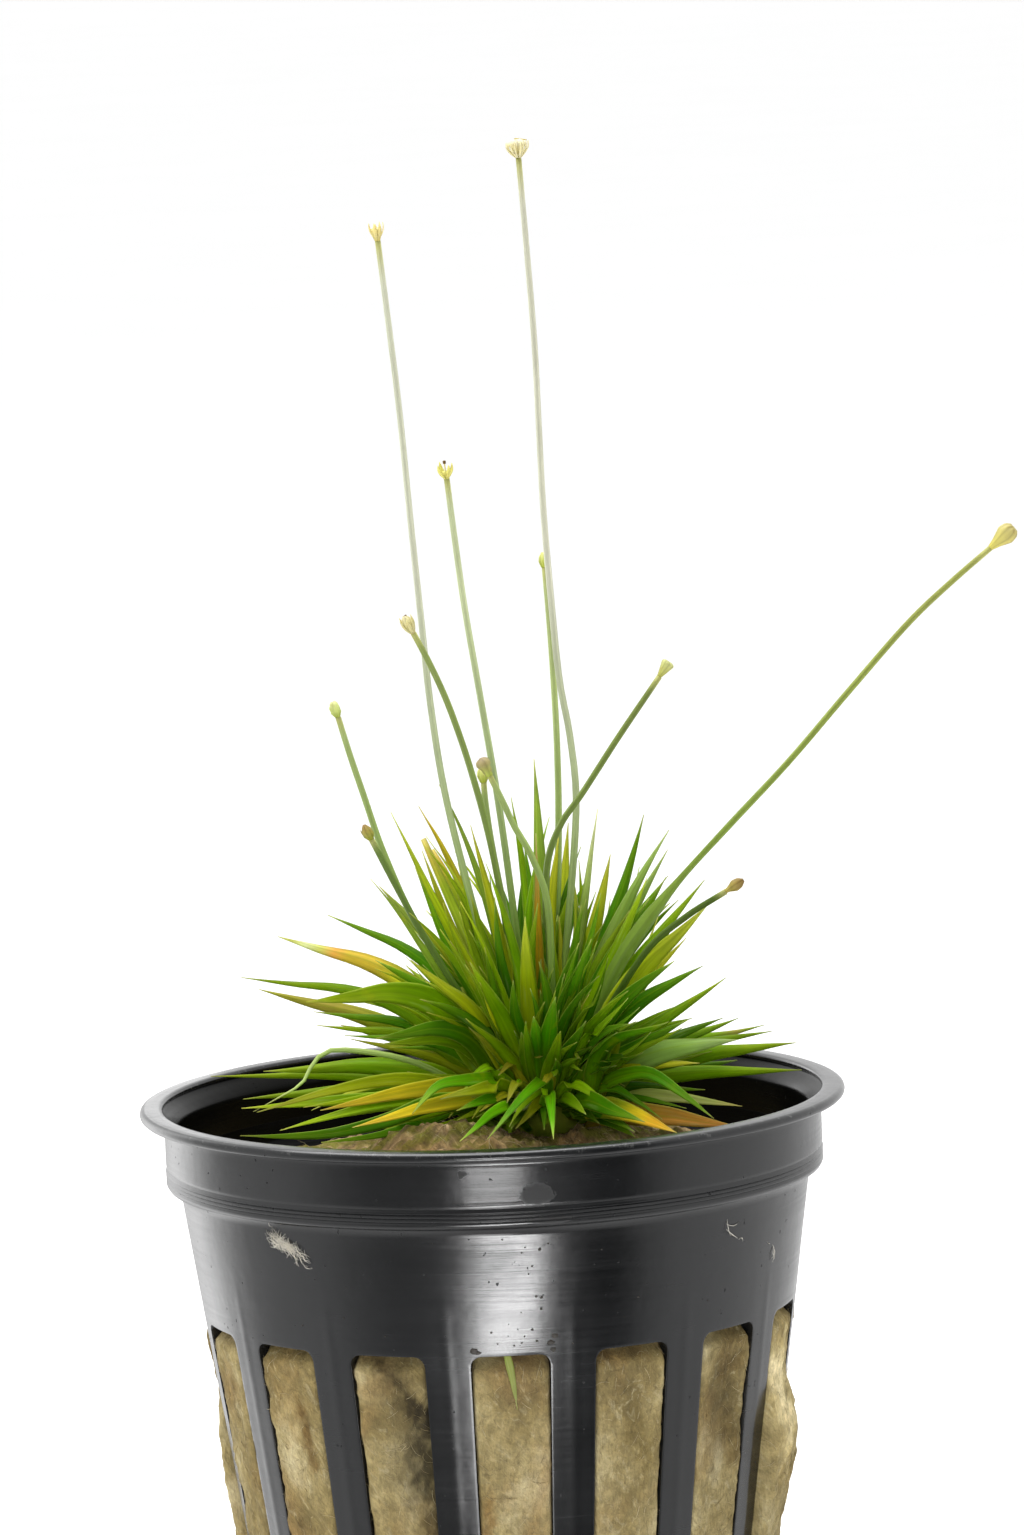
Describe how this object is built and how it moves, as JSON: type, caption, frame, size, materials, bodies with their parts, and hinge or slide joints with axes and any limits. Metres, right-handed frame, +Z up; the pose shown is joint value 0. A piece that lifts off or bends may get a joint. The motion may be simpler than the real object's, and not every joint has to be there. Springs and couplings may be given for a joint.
{
  "type": "potted eriocaulon cinereum",
  "caption": "Black slotted basket pot full of rock wool, with a rosette of narrow pointed leaves and thin leaning flower stalks that end in small button heads.",
  "frame": {"origin": "middle of the pot's flat underside", "axes": "+Z up out of the pot's mouth, -Y towards the side that the picture shows, +X to its right"},
  "size_m": [0.0694, 0.055, 0.1245],
  "materials": {
    "black_plastic": "satin",
    "rock_wool": "matte",
    "flower_stem": "satin",
    "flower_head": "matte",
    "leaf_deep": "satin",
    "leaf_yellow_green": "satin",
    "leaf_bright": "satin",
    "leaf_straw": "satin",
    "leaf_yellow": "satin",
    "leaf_vivid": "satin",
    "leaf_sheen": "satin",
    "leaf_orange": "satin"
  },
  "bodies": {
    "root": {"pot": "black_plastic", "rock_wool": "rock_wool", "inner_rosette": "leaf_deep", "flower_stem_01": "flower_stem", "flower_head_01": "flower_head", "flower_stem_02": "flower_stem", "flower_head_02": "flower_head", "flower_stem_03": "flower_stem", "flower_head_03": "flower_head", "flower_stem_04": "flower_stem", "flower_head_04": "flower_head", "flower_stem_05": "flower_stem", "flower_head_05": "flower_head", "flower_stem_06": "flower_stem", "flower_head_06": "flower_head", "flower_stem_07": "flower_stem", "flower_head_07": "flower_head", "flower_stem_08": "flower_stem", "flower_head_08": "flower_head", "flower_stem_09": "flower_stem", "flower_head_09": "flower_head", "flower_stem_10": "flower_stem", "flower_head_10": "flower_head", "flower_stem_11": "flower_stem", "flower_head_11": "flower_head", "flower_stem_12": "flower_stem", "flower_head_12": "flower_head", "leaf_01": "leaf_deep", "leaf_02": "leaf_yellow_green", "leaf_03": "leaf_bright", "leaf_04": "leaf_yellow_green", "leaf_05": "leaf_bright", "leaf_06": "leaf_bright", "leaf_07": "leaf_bright", "leaf_08": "leaf_bright", "leaf_09": "leaf_bright", "leaf_10": "leaf_straw", "leaf_11": "leaf_bright", "leaf_12": "leaf_yellow", "leaf_13": "leaf_deep", "leaf_14": "leaf_yellow", "leaf_15": "leaf_vivid", "leaf_16": "leaf_vivid", "leaf_17": "leaf_vivid", "leaf_18": "leaf_vivid", "leaf_19": "leaf_vivid", "leaf_20": "leaf_yellow_green", "leaf_21": "leaf_deep", "leaf_22": "leaf_deep", "leaf_23": "leaf_bright", "leaf_24": "leaf_bright", "leaf_25": "leaf_bright", "leaf_26": "leaf_sheen", "leaf_27": "leaf_bright", "leaf_28": "leaf_deep", "leaf_29": "leaf_straw", "leaf_30": "leaf_orange", "leaf_31": "leaf_yellow", "leaf_32": "leaf_bright", "leaf_33": "leaf_bright"}
  },
  "joints": []
}
